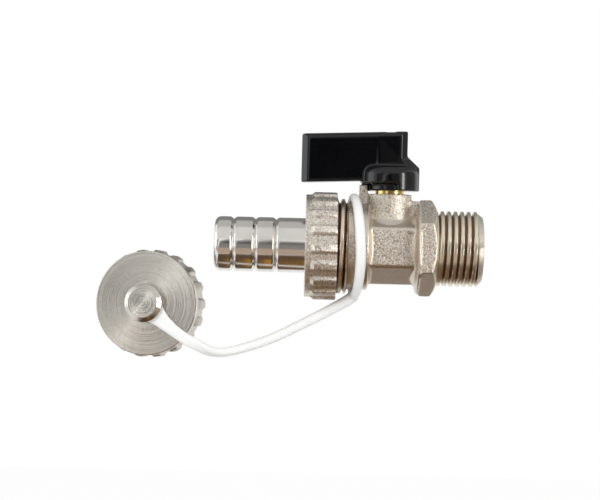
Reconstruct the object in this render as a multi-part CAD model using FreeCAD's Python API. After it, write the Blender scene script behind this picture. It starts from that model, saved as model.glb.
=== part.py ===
import FreeCAD, Part
import math
import os

V = FreeCAD.Vector

# Drain cock: a small ball valve with a threaded inlet, a hose union and a blanking cap on a strap.
# Millimetres. X is the waterway with the inlet at +X, Z is the stem, and the origin is the inlet shoulder.

# Inlet spigot and hexagon flange
inlet_thread_d = 20.955
inlet_length = 12.8
inlet_chamfer = 1.5
inlet_first_valley = 2.25
inlet_valley_count = 5
inlet_bore_d = 13.2
hex_across_flats = 23.3
hex_length = 4.7
hex_corner_d = 26.9
hex_front_bevel = 1.24
hex_front_bevel_depth = 2.2
hex_back_bevel = 0.6
hex_back_bevel_depth = 0.8

# Body between the flange and the outlet
stem_to_shoulder = 13.0
flare_length = 2.4
flare_land = 0.5
body_across_flats = 18.2
body_corner_d = 20.5
body_length = 10.7
collar_d = 23.8
collar_length = 5.6
collar_ramp = 1.1

# Outlet thread
outlet_thread_d = 26.44
outlet_thread_length = 6.9
outlet_runout = 0.6
outlet_chamfer = 0.8
outlet_bore_d = 17.2
outlet_first_valley = 1.5
outlet_valley_count = 3

# Form of both threads
thread_pitch = 1.814
thread_depth = 1.16
thread_valley_width = 1.3

# Neck and stop post
neck_d = 12.4
neck_top = 14.7
neck_flare = 1.9
neck_flare_top = 9.6
web_width = 6.0
web_top = 12.9
post_from_stem = 7.25
post_length = 2.3
post_width = 2.6
post_top = 17.2

# Ball, seats and retainer
ball_d = 14.6
ball_bore_d = 9.5
chamber_gap = 0.25
seat_back = 6.6
seat_front = 3.2
seat_bore_d = 10.4
seat_gap = 0.04
retainer_d = 17.0
retainer_length = 5.0
retainer_nose = 0.7
retainer_slot_width = 2.4
retainer_slot_depth = 1.4
fit_gap = 0.05

# Stem
stem_d = 8.0
stem_flange_d = 9.7
stem_flange_bottom = 7.7
stem_flange_top = 8.9
stem_shoulder = 15.6
stem_square = 5.5
stem_square_top = 20.6
tang_width = 2.8
tang_seat_gap = 0.2
tang_bottom = 5.6
slot_floor_gap = 0.2
thrust_washer_thickness = 0.5
ring_section_d = 1.3
ring_groove_width = 1.7
lower_ring_height = 10.7
upper_ring_height = 13.3

# Lever
paddle_reach = 24.6
paddle_top = 32.0
paddle_height = 13.5
paddle_right = 4.7
paddle_thickness = 7.0
thick_zone_step = 0.15
thick_zone_left = 3.7
paddle_droop = 2.4
paddle_end_bevel = 1.7
paddle_top_bevel = 0.9
shoulder_top = 25.2
shoulder_low = 22.1
hub_d = 16.2
hub_top = 22.4
hub_round = 2.4
skirt_top = 17.5
boss_d = 10.9
lever_turn = 90.0
stop_gap_angle = 1.5

# Screw that holds the lever
screw_d = 3.0
screw_head_d = 5.5
screw_head_height = 2.0
screw_length = 7.2
screw_slot = 0.8
screw_slot_depth = 0.9
screw_well_d = 5.9
screw_well_floor = 23.0
lever_washer_d = 5.6
lever_washer_thickness = 1.0

# Hose union
nut_length = 8.7
nut_lip = 1.6
nut_wall = 0.98
rib_height = 0.8
rib_count = 18
rib_width = 2.7
rib_bevel = 0.6
nut_rib_turn = -12.5
cap_rib_turn = 10.0
nut_smooth_band = 2.0
thread_gap = 0.08
gasket_thickness = 1.6
gasket_bore_d = 16.4
gasket_d = 24.0
tail_flange_thickness = 1.5
tail_d = 15.2
tail_bore_d = 11.2
tail_length = 25.1
tail_hole_gap = 0.35
tail_tip_round = 1.8
tail_groove_d = 14.2
tail_groove_width = 1.1
tail_groove_places = (5.3, 11.3, 17.0)

# Blanking cap, as it lies beside the hose tail
cap_from_stem = 66.7
cap_below_axis = 17.0
cap_face_ahead = 1.95
cap_turn_angle = 10.96
cap_tilt_angle = 2.29
cap_face_d = 28.9
cap_depth = 8.2
cap_wall = 2.2
button_neck_d = 6.4
button_neck_height = 2.4
button_d = 10.6
button_edge = 0.6
button_bevel = 0.85
button_top_d = 8.14

# Strap
strap_thickness = 2.7
strap_ring_gap = 0.4
strap_ring_wall = 2.5
strap_ring_width = 2.2
strap_ring_from_thread = 2.3
strap_ring_yaw_angle = 4.86
strap_ring_pitch_angle = 2.86
strap_round = 0.5
eye_d = 9.8
eye_bore_gap = 0.4
eye_thickness = 1.8
eye_lift = 0.3
tongue_thickness = 1.5

# The strap's run from the ring to the cap: distance left of the stem, distance ahead of the axis,
# distance below the axis, share of the quarter turn that faces it forwards, and width
strap_run = (
    (8.6, 0.0, 13.6, 0.0, 3.4),
    (12.1, 0.1, 15.9, 0.0, 3.8),
    (21.4, 0.7, 20.9, 0.0, 3.8),
    (33.6, 2.4, 26.7, 0.0, 3.8),
    (45.7, 5.0, 30.0, 0.25, 3.8),
)
# The end of the run lies on the cap's face: distance right of the button, below it, and width
strap_on_cap = (
    (14.0, 10.6, 3.4),
    (9.6, 8.2, 3.4),
    (5.7, 5.3, 4.2),
    (2.9, 2.8, 6.0),
)
strap_face_turn = (0.8, 1.0, 1.0, 1.0)

# Places along the waterway that the lengths above give
stem_x = -stem_to_shoulder
flange_left = -hex_length
flare_left = flange_left - flare_length
body_left = flare_left - body_length
collar_right = body_left - collar_ramp
thread_right = collar_right - collar_length
outlet_face = thread_right - outlet_thread_length
gasket_left = outlet_face - gasket_thickness
tail_flange_left = gasket_left - tail_flange_thickness
nut_left = tail_flange_left - nut_lip
nut_right = nut_left + nut_length
tail_end = nut_left - tail_length
chamber_d = ball_d + 2 * chamber_gap
nut_bore_d = outlet_thread_d + 2 * thread_gap
nut_d = outlet_thread_d + 2 * nut_wall
rib_d = nut_d + 2 * rib_height
tail_hole_d = tail_d + 2 * tail_hole_gap
thrust_seat = stem_flange_top + thrust_washer_thickness
tang_length = 2 * math.sqrt((seat_front - tang_seat_gap) ** 2 - (tang_width / 2) ** 2)
stem_bore_d = stem_d + 2 * fit_gap
flange_bore_d = stem_flange_d + 2 * fit_gap
far = 60.0
tiny = 0.001


def rod_x(diameter, x0, x1):
    """A round bar along X."""
    return Part.makeCylinder(diameter / 2, x1 - x0, V(x0, 0, 0), V(1, 0, 0))


def rod_z(diameter, z0, z1, x=0.0):
    """A round bar along Z."""
    return Part.makeCylinder(diameter / 2, z1 - z0, V(x, 0, z0), V(0, 0, 1))


def block(x0, x1, y0, y1, z0, z1):
    """A box between two corners."""
    return Part.makeBox(x1 - x0, y1 - y0, z1 - z0, V(x0, y0, z0))


def turned_x(profile):
    """A turned solid about X from points of distance along X and radius."""
    points = [V(x, 0, r) for x, r in profile]
    face = Part.Face(Part.makePolygon(points + points[:1]))
    return face.revolve(V(0, 0, 0), V(1, 0, 0), 360)


def turned_z(profile, x=0.0):
    """A turned solid about Z from points of radius and height."""
    points = [V(x + r, 0, z) for r, z in profile]
    face = Part.Face(Part.makePolygon(points + points[:1]))
    return face.revolve(V(x, 0, 0), V(0, 0, 1), 360)


def hexagon_x(across_flats, x0, x1):
    """A hexagonal bar along X with a flat towards -Y and corners up and down."""
    corner = across_flats / math.sqrt(3)
    angles = [math.radians(90 + 60 * step) for step in range(6)]
    points = [V(x0, corner * math.cos(a), corner * math.sin(a)) for a in angles]
    return Part.Face(Part.makePolygon(points + points[:1])).extrude(V(x1 - x0, 0, 0))


def ring_x(outer_d, inner_d, x0, x1):
    """A plain flat ring about X."""
    return rod_x(outer_d, x0, x1).cut(rod_x(inner_d, x0, x1))


def ribbed(smooth_d, length, band, rib_turn):
    """A bar along Z from -length to 0 with a smooth band at the top and ribs below it."""
    core = rod_z(smooth_d, -length, 0)
    low = math.sqrt((smooth_d / 2) ** 2 - (rib_width / 2) ** 2) - rib_height
    top = rib_d / 2
    outline = [
        V(low, 0, -length), V(top, 0, -length), V(top, 0, -band - rib_bevel), V(low, 0, -band + rib_bevel)
    ]
    face = Part.Face(Part.makePolygon(outline + outline[:1]))
    face.translate(V(0, -rib_width / 2, 0))
    rib = face.extrude(V(0, rib_width, 0))
    ribs = []
    for step in range(rib_count):
        copy = rib.copy()
        copy.rotate(V(0, 0, 0), V(0, 0, 1), rib_turn + 360 * step / rib_count)
        ribs.append(copy)
    return core.fuse(ribs).common(rod_z(rib_d, -length, 0)).removeSplitter()


def hex_flange():
    """The spanner hexagon, its corners turned off on both sides."""
    corner = hex_corner_d / 2
    turned = turned_x(
        [(flange_left, 0), (flange_left, corner - hex_back_bevel_depth),
         (flange_left + hex_back_bevel, corner), (-hex_front_bevel, corner),
         (0, corner - hex_front_bevel_depth), (0, 0)]
    )
    return hexagon_x(hex_across_flats, flange_left, 0).common(turned)


def body_outside():
    """The forging before it is bored: spigot, flange, body, collar, outlet, neck and stop post."""
    spigot_r = inlet_thread_d / 2
    spigot = turned_x(
        [(flange_left, 0), (flange_left, spigot_r), (inlet_length - inlet_chamfer, spigot_r),
         (inlet_length, spigot_r - inlet_chamfer), (inlet_length, 0)]
    )
    middle = hexagon_x(body_across_flats, body_left - collar_ramp, flange_left)
    middle = middle.common(rod_x(body_corner_d, body_left - collar_ramp, flange_left))
    flare_r = hex_corner_d / 2 - hex_back_bevel_depth
    flare = turned_x(
        [(flare_left, 0), (flare_left, body_across_flats / 2),
         (flare_left + flare_length / 2, body_corner_d / 2),
         (flange_left - flare_land, flare_r), (flange_left, flare_r), (flange_left, 0)]
    )
    collar_r = collar_d / 2
    thread_r = outlet_thread_d / 2
    outlet = turned_x(
        [(body_left, 0), (body_left, body_across_flats / 2), (collar_right, collar_r),
         (thread_right, collar_r), (thread_right - outlet_runout, thread_r),
         (outlet_face + outlet_chamfer, thread_r),
         (outlet_face, thread_r - outlet_chamfer), (outlet_face, 0)]
    )
    neck_r = neck_d / 2
    base = neck_flare_top - 2 * neck_flare
    neck = turned_z(
        [(0, 0), (neck_r + neck_flare, 0), (neck_r + neck_flare, base),
         (neck_r + neck_flare / 4, base + neck_flare), (neck_r, neck_flare_top), (neck_r, neck_top),
         (0, neck_top)],
        stem_x,
    )
    web = block(stem_x, flange_left, -web_width / 2, web_width / 2, 0, web_top)
    post_x = stem_x - post_from_stem
    post = block(
        post_x - post_length / 2, post_x + post_length / 2, -post_width / 2, post_width / 2, 0, post_top
    )
    return spigot.fuse([hex_flange(), middle, flare, outlet, neck, web, post])


def thread_valleys(crest_d, first, count, way):
    """The rings that are cut for a thread's valleys, from the first one towards +X (1) or -X (-1)."""
    crest_r = crest_d / 2
    half = thread_valley_width / 2
    valleys = []
    for step in range(count):
        x = first + way * step * thread_pitch
        inner = (x, crest_r - thread_depth)
        outer = (x, crest_r + thread_depth)
        valleys.append(turned_x([(x - half, crest_r), inner, (x + half, crest_r), outer]))
    return valleys


def valve_body():
    """The forging with its threads, bored for the waterway, the ball, the retainer and the stem."""
    seat_end = stem_x + seat_back
    retainer_right = stem_x - seat_back - retainer_nose
    bores = [
        rod_x(seat_bore_d, seat_end - tiny, inlet_length + far),
        rod_x(inlet_bore_d, flange_left, inlet_length + far),
        rod_x(chamber_d, outlet_face, seat_end),
        rod_x(retainer_d, outlet_face, retainer_right),
        rod_x(outlet_bore_d, outlet_face - far, retainer_right - retainer_length),
        rod_z(flange_bore_d, 0, thrust_seat, stem_x),
        rod_z(stem_bore_d, 0, neck_top + far, stem_x),
    ]
    inlet_valleys = thread_valleys(inlet_thread_d, inlet_first_valley, inlet_valley_count, 1)
    first_valley = thread_right - outlet_first_valley
    outlet_valleys = thread_valleys(outlet_thread_d, first_valley, outlet_valley_count, -1)
    return body_outside().cut(bores + inlet_valleys + outlet_valleys).removeSplitter()


def ball():
    """The ball with its waterway along X and the stem's slot along Y."""
    solid = Part.makeSphere(ball_d / 2, V(stem_x, 0, 0))
    half_slot = tang_width / 2 + fit_gap
    slot = block(
        stem_x - half_slot, stem_x + half_slot, -ball_d, ball_d, tang_bottom - slot_floor_gap, ball_d
    )
    return solid.cut([rod_x(ball_bore_d, stem_x - ball_d, stem_x + ball_d), slot])


def seat(side):
    """A seat ring, hollowed to the ball, on the inlet side (+1) or the outlet side (-1)."""
    near = stem_x + side * seat_front
    back = stem_x + side * seat_back
    x0 = min(near, back)
    x1 = max(near, back)
    ring = ring_x(chamber_d - 2 * fit_gap, seat_bore_d, x0, x1)
    return ring.cut(Part.makeSphere(ball_d / 2 + seat_gap, V(stem_x, 0, 0)))


def seat_retainer():
    """The threaded ring that holds the outlet seat, slotted for a key."""
    right = stem_x - seat_back
    step = right - retainer_nose
    left = step - retainer_length
    nose = rod_x(chamber_d - 2 * fit_gap, step - tiny, right)
    ring = nose.fuse(rod_x(retainer_d - 2 * fit_gap, left, step))
    half = retainer_slot_width / 2
    slot = block(left, left + retainer_slot_depth, -half, half, -retainer_d, retainer_d)
    return ring.cut([rod_x(seat_bore_d, left, right), slot]).removeSplitter()


def stem():
    """The stem: tang, flange, shaft with two ring grooves, and a tapped square for the lever."""
    tang = block(
        stem_x - tang_width / 2, stem_x + tang_width / 2, -tang_length / 2, tang_length / 2,
        tang_bottom, stem_flange_bottom
    )
    half = stem_square / 2
    square = block(stem_x - half, stem_x + half, -half, half, stem_shoulder, stem_square_top)
    body = rod_z(stem_flange_d, stem_flange_bottom, stem_flange_top, stem_x)
    body = body.fuse([rod_z(stem_d, stem_flange_top, stem_shoulder, stem_x), tang, square])
    grooves = []
    for height in (lower_ring_height, upper_ring_height):
        low = height - ring_groove_width / 2
        high = height + ring_groove_width / 2
        groove_d = stem_d - 2 * ring_section_d
        grooves.append(rod_z(stem_d, low, high, stem_x).cut(rod_z(groove_d, low, high, stem_x)))
    tapped = rod_z(screw_d + 2 * fit_gap, screw_tip() - fit_gap, stem_square_top, stem_x)
    return body.cut(grooves + [tapped]).removeSplitter()


def stem_o_ring(height):
    """A rubber ring in its groove on the stem."""
    section_r = ring_section_d / 2 - fit_gap / 2
    middle_r = stem_d / 2 - ring_section_d / 2
    return Part.makeTorus(middle_r, section_r, V(stem_x, 0, height), V(0, 0, 1))


def stem_thrust_washer():
    """The slip washer between the stem's flange and the neck."""
    outer = rod_z(stem_flange_d, stem_flange_top, thrust_seat, stem_x)
    return outer.cut(rod_z(stem_bore_d, stem_flange_top, thrust_seat, stem_x))


def droop_height(x):
    """How far the paddle's edges drop at a distance along X from the stem."""
    return (x - stem_x) * math.tan(math.radians(paddle_droop))


def lever_outline():
    """The lever's outline seen from the side, as a face in the plane of the waterway."""
    left = stem_x - paddle_reach
    right = stem_x + paddle_right
    hub_left = stem_x - hub_d / 2
    hub_right = stem_x + hub_d / 2
    low = paddle_top - paddle_height
    corners = [
        (left, paddle_top + droop_height(left)), (right, paddle_top + droop_height(right)),
        (right, shoulder_top), (hub_right, shoulder_low), (hub_right, stem_shoulder), (stem_x, stem_shoulder),
        (stem_x, low + droop_height(hub_left)), (hub_left, low + droop_height(hub_left)),
        (left, low + droop_height(left)),
    ]
    points = [V(x, 0, z) for x, z in corners]
    return Part.Face(Part.makePolygon(points + points[:1]))


def paddle(thickness):
    """A plate of the lever's outline with bevelled ends and top."""
    half = thickness / 2
    face = lever_outline()
    face.translate(V(0, -half, 0))
    plate = face.extrude(V(0, thickness, 0))
    left = stem_x - paddle_reach
    right = stem_x + paddle_right
    middle_height = paddle_top - paddle_height / 2
    ends = [
        edge for edge in plate.Edges
        if abs(abs(edge.CenterOfMass.y) - half) < tiny
        and (edge.CenterOfMass.x < left + tiny or edge.CenterOfMass.x > right - tiny)
    ]
    plate = plate.makeChamfer(paddle_end_bevel, ends)
    tops = [
        edge for edge in plate.Edges
        if abs(abs(edge.CenterOfMass.y) - half) < tiny
        and edge.CenterOfMass.z > middle_height
        and edge.BoundBox.XLength > paddle_reach / 2
    ]
    return plate.makeChamfer(paddle_top_bevel, tops)


def hub():
    """The lever's hub: a rounded disc, an inner boss and a skirt that leaves room for the stop post."""
    disc = rod_z(hub_d, skirt_top, hub_top, stem_x)
    top_edge = [edge for edge in disc.Edges if abs(edge.CenterOfMass.z - hub_top) < tiny]
    disc = disc.makeFillet(hub_round, top_edge)
    boss = rod_z(boss_d, stem_shoulder, skirt_top, stem_x)
    post_edge = post_from_stem - post_length / 2
    half_angle = math.degrees(math.atan2(post_width / 2, post_edge)) + stop_gap_angle
    start = 180 + half_angle + lever_turn
    sweep = 360 - 2 * half_angle - lever_turn
    height = skirt_top - stem_shoulder
    skirt = Part.makeCylinder(hub_d / 2, height, V(0, 0, 0), V(0, 0, 1), sweep)
    skirt.rotate(V(0, 0, 0), V(0, 0, 1), start)
    skirt.translate(V(stem_x, 0, stem_shoulder))
    return disc.fuse([boss, skirt])


def lever():
    """The moulded lever, with a square socket for the stem and a well for its screw."""
    zone = block(stem_x - thick_zone_left, stem_x + hub_d, -hub_d, hub_d, stem_shoulder, paddle_top + far)
    thick_zone = paddle(paddle_thickness + 2 * thick_zone_step).common(zone)
    solid = paddle(paddle_thickness).fuse([hub(), thick_zone])
    half = stem_square / 2 + fit_gap
    socket_top = stem_square_top + slot_floor_gap
    socket = block(stem_x - half, stem_x + half, -half, half, stem_shoulder - tiny, socket_top)
    hole = rod_z(screw_d + 2 * slot_floor_gap, socket_top - tiny, screw_well_floor, stem_x)
    well = rod_z(screw_well_d, screw_well_floor, paddle_top + far, stem_x)
    return solid.cut([socket, hole, well]).removeSplitter()


def screw_under_head():
    """The height of the underside of the screw's head."""
    return screw_well_floor + lever_washer_thickness


def screw_tip():
    """The height of the screw's tip."""
    return screw_under_head() - screw_length


def lever_screw():
    """The slotted screw that holds the lever down on the stem."""
    under = screw_under_head()
    top = under + screw_head_height
    solid = rod_z(screw_d, screw_tip(), under, stem_x).fuse(rod_z(screw_head_d, under, top, stem_x))
    half = screw_slot / 2
    slot = block(stem_x - screw_head_d, stem_x + screw_head_d, -half, half, top - screw_slot_depth, top)
    return solid.cut(slot)


def lever_washer():
    """The lock washer under the screw's head."""
    top = screw_under_head()
    return rod_z(lever_washer_d, screw_well_floor, top, stem_x).cut(
        rod_z(screw_d + 2 * fit_gap, screw_well_floor, top, stem_x)
    )


def union_nut():
    """The ribbed union nut that draws the hose tail to the outlet."""
    solid = ribbed(nut_d, nut_length, nut_smooth_band, nut_rib_turn)
    solid.rotate(V(0, 0, 0), V(0, 1, 0), -90)
    solid.translate(V(nut_left, 0, 0))
    hole = rod_x(tail_hole_d, nut_left, nut_right)
    return solid.cut([hole, rod_x(nut_bore_d, nut_left + nut_lip, nut_right)])


def hose_tail():
    """The hose tail: a grooved tube with a rounded tip and a flange under the nut."""
    tube_r = tail_d / 2
    bore_r = tail_bore_d / 2
    tip_r = tube_r - tail_tip_round
    diagonal = tail_tip_round * (1 - math.sqrt(0.5))
    first = V(tail_end, 0, tip_r)
    middle = V(tail_end + diagonal, 0, tip_r + tail_tip_round - diagonal)
    last = V(tail_end + tail_tip_round, 0, tip_r + tail_tip_round)
    tip = Part.Arc(first, middle, last).toShape()
    points = [last]
    for place in tail_groove_places:
        points.append(V(tail_end + place - tail_groove_width / 2, 0, tube_r))
        points.append(V(tail_end + place, 0, tail_groove_d / 2))
        points.append(V(tail_end + place + tail_groove_width / 2, 0, tube_r))
    points.append(V(tail_flange_left, 0, tube_r))
    points.append(V(tail_flange_left, 0, gasket_d / 2))
    points.append(V(gasket_left, 0, gasket_d / 2))
    points.append(V(gasket_left, 0, bore_r))
    points.append(V(tail_end, 0, bore_r))
    points.append(first)
    wire = Part.Wire([tip] + Part.makePolygon(points).Edges)
    return Part.Face(wire).revolve(V(0, 0, 0), V(1, 0, 0), 360)


def cap_normal():
    """The direction that the cap's face looks in."""
    turn = math.radians(cap_turn_angle)
    tilt = math.radians(cap_tilt_angle)
    return V(-math.sin(turn) * math.cos(tilt), -math.cos(turn) * math.cos(tilt), math.sin(tilt))


def cap_centre():
    """The middle of the cap's face."""
    return V(stem_x - cap_from_stem, -cap_face_ahead, -cap_below_axis)


def on_cap(shape):
    """A shape built about Z with the cap's face at zero, moved to where the cap lies."""
    shape.Placement = FreeCAD.Placement(cap_centre(), FreeCAD.Rotation(V(0, 0, 1), cap_normal()))
    return shape


def blanking_cap():
    """The blanking cap: a ribbed skirt, a face and a mushroom button for the strap."""
    solid = ribbed(nut_d, cap_depth, cap_wall, cap_rib_turn)
    face = rod_z(cap_face_d, -cap_wall, 0)
    button = turned_z(
        [(0, -cap_wall), (button_neck_d / 2, -cap_wall), (button_neck_d / 2, button_neck_height),
         (button_d / 2, button_neck_height), (button_d / 2, button_neck_height + button_edge),
         (button_top_d / 2, button_neck_height + button_edge + button_bevel),
         (0, button_neck_height + button_edge + button_bevel)]
    )
    solid = solid.fuse([face, button]).cut(rod_z(nut_bore_d, -cap_depth, -cap_wall))
    return on_cap(solid.removeSplitter())


def cap_gasket():
    """The flat washer inside the cap."""
    low = -cap_wall - gasket_thickness
    return on_cap(rod_z(outlet_thread_d, low, -cap_wall).cut(rod_z(gasket_bore_d, low, -cap_wall)))


def union_gasket():
    """The flat washer between the hose tail and the outlet."""
    return ring_x(gasket_d, gasket_bore_d, gasket_left, outlet_face)


def rounded_section(centre, across, through, width, thickness):
    """A closed wire: a rectangle with rounded corners about a point."""
    half_w = width / 2
    half_t = thickness / 2
    edges = []
    inset = strap_round * (1 - math.sqrt(0.5))
    signs = [(1, 1), (-1, 1), (-1, -1), (1, -1)]
    corners = []
    for sign_w, sign_t in signs:
        ends = [(half_w - strap_round, half_t), (half_w, half_t - strap_round)]
        if sign_w * sign_t > 0:
            ends.reverse()
        ends.insert(1, (half_w - inset, half_t - inset))
        corners.append([centre + across * (sign_w * w) + through * (sign_t * t) for w, t in ends])
    for index, corner in enumerate(corners):
        edges.append(Part.Arc(*corner).toShape())
        following = corners[(index + 1) % len(corners)]
        edges.append(Part.LineSegment(corner[-1], following[0]).toShape())
    return Part.Wire(edges)


def strap_stations():
    """The places of the strap's run, each with its point, its turn and its width."""
    stations = []
    for left, ahead, below, turn, width in strap_run:
        stations.append((V(stem_x - left, -ahead, -below), turn, width))
    normal = cap_normal()
    lift = normal * (eye_lift + eye_thickness / 2)
    for (right, below, width), turn in zip(strap_on_cap, strap_face_turn):
        flat = V(right, 0, -below)
        flat.y = -(normal.x * flat.x + normal.z * flat.z) / normal.y
        stations.append((cap_centre() + flat + lift, turn, width))
    return stations


def strap_strip():
    """The strap's strip, turned from edge-on at the ring to flat on the cap."""
    stations = strap_stations()
    wires = []
    for index, (point, turn, width) in enumerate(stations):
        before = stations[max(index - 1, 0)][0]
        after = stations[min(index + 1, len(stations) - 1)][0]
        along = (after - before).normalize()
        edge_on = along.cross(V(0, 1, 0)).normalize()
        facing = (edge_on * (1 - turn) + cap_normal() * turn).normalize()
        across = facing.cross(along).normalize()
        through = along.cross(across).normalize()
        thickness = strap_thickness * (1 - turn) + tongue_thickness * turn
        wires.append(rounded_section(point, across, through, width, thickness))
    return Part.makeLoft(wires, True, False)


def strap_ring():
    """The strap's ring, which lies loosely askew round the collar."""
    inner = collar_d / 2 + strap_ring_gap
    outer = inner + strap_ring_wall
    middle = V(0, 0, (inner + outer) / 2)
    section = rounded_section(middle, V(1, 0, 0), V(0, 0, 1), strap_ring_width, strap_ring_wall)
    ring = Part.Face(section).revolve(V(0, 0, 0), V(1, 0, 0), 360)
    centre = V(thread_right + strap_ring_from_thread, 0, 0)
    yaw = math.tan(math.radians(strap_ring_yaw_angle))
    pitch = math.tan(math.radians(strap_ring_pitch_angle))
    askew = FreeCAD.Rotation(V(1, 0, 0), V(1, yaw, pitch))
    ring.Placement = FreeCAD.Placement(centre, askew)
    return ring


def cap_strap():
    """The moulded strap: ring, strip and the eye that snaps over the cap's button."""
    eye_bore_d = button_neck_d + 2 * eye_bore_gap
    bore = on_cap(rod_z(eye_bore_d, eye_lift - eye_thickness, eye_lift + 2 * eye_thickness))
    eye = on_cap(rod_z(eye_d, eye_lift, eye_lift + eye_thickness))
    return strap_ring().fuse([strap_strip(), eye]).cut(bore).removeSplitter()


NODES = {
    "valve_body": valve_body,
    "seat_retainer": seat_retainer,
    "inlet_seat": lambda: seat(1),
    "outlet_seat": lambda: seat(-1),
    "ball": ball,
    "stem": stem,
    "stem_thrust_washer": stem_thrust_washer,
    "stem_o_ring_lower": lambda: stem_o_ring(lower_ring_height),
    "stem_o_ring_upper": lambda: stem_o_ring(upper_ring_height),
    "lever": lever,
    "lever_washer": lever_washer,
    "lever_screw": lever_screw,
    "union_nut": union_nut,
    "hose_tail": hose_tail,
    "union_gasket": union_gasket,
    "blanking_cap": blanking_cap,
    "cap_gasket": cap_gasket,
    "cap_strap": cap_strap,
}


def main():
    """Build every piece and write it out."""
    os.makedirs("parts", exist_ok=True)
    for name, make in NODES.items():
        shape = make()
        print(name, shape.isValid(), len(shape.Solids), round(shape.Volume, 2))
        shape.exportStep(os.path.join("parts", name + ".step"))


main()
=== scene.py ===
"""Looks of a drain cock: a plated ball valve with a black lever, a hose union and a capped strap."""

import logging
import math
from dataclasses import dataclass
from enum import Enum
from functools import reduce
from typing import Any, Callable, Mapping, Optional, Sequence, Union

import bmesh
import bpy
import numpy as np
from mathutils import Matrix, Vector


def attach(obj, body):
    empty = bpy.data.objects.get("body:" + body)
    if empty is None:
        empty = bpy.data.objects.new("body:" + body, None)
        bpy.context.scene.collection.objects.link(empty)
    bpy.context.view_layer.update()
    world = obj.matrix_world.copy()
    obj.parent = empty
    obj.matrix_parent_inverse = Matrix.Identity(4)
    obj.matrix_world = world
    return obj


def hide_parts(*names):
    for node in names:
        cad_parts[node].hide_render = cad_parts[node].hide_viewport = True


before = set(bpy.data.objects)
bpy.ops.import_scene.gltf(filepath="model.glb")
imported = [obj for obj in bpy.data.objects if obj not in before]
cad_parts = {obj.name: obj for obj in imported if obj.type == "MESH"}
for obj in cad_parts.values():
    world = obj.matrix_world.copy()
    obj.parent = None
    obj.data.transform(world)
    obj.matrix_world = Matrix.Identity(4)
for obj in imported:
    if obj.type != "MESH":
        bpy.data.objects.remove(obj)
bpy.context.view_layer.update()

MM = 0.001
LOG = logging.getLogger("drain_cock")

Triple = tuple[float, float, float]
Colour = Triple
Span = tuple[float, float]
Number = Union[int, float]


@dataclass(frozen=True)
class Value:
    """A shader socket that takes part in Python arithmetic."""

    graph: "Graph"
    socket: bpy.types.NodeSocket

    def _math(self, operation: str, *items: "Operand") -> "Value":
        """Add a Math node on some items."""
        return self.graph.node("ShaderNodeMath", {"operation": operation}, dict(enumerate(items)))

    def __add__(self, other: "Operand") -> "Value":
        """This value plus another."""
        return self._math("ADD", self, other)

    __radd__ = __add__

    def __sub__(self, other: "Operand") -> "Value":
        """This value less another."""
        return self._math("SUBTRACT", self, other)

    def __rsub__(self, other: Number) -> "Value":
        """A number less this value."""
        return self._math("SUBTRACT", other, self)

    def __mul__(self, other: "Operand") -> "Value":
        """This value times another."""
        return self._math("MULTIPLY", self, other)

    def largest(self, other: "Operand") -> "Value":
        """The larger of this value and another."""
        return self._math("MAXIMUM", self, other)

    def smooth(self, low: float, high: float, most: float = 1.0) -> "Value":
        """A soft step from 0 at low to the most at high."""
        sockets = {"Value": self, "From Min": low, "From Max": high, "To Min": 0.0, "To Max": most}
        return self.graph.node("ShaderNodeMapRange", {"interpolation_type": "SMOOTHSTEP"}, sockets)

    def smooth_mm(self, low: float, high: float) -> "Value":
        """A soft step between two lengths in millimetres."""
        return self.smooth(low * MM, high * MM)


Operand = Union[Value, Number]


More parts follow.
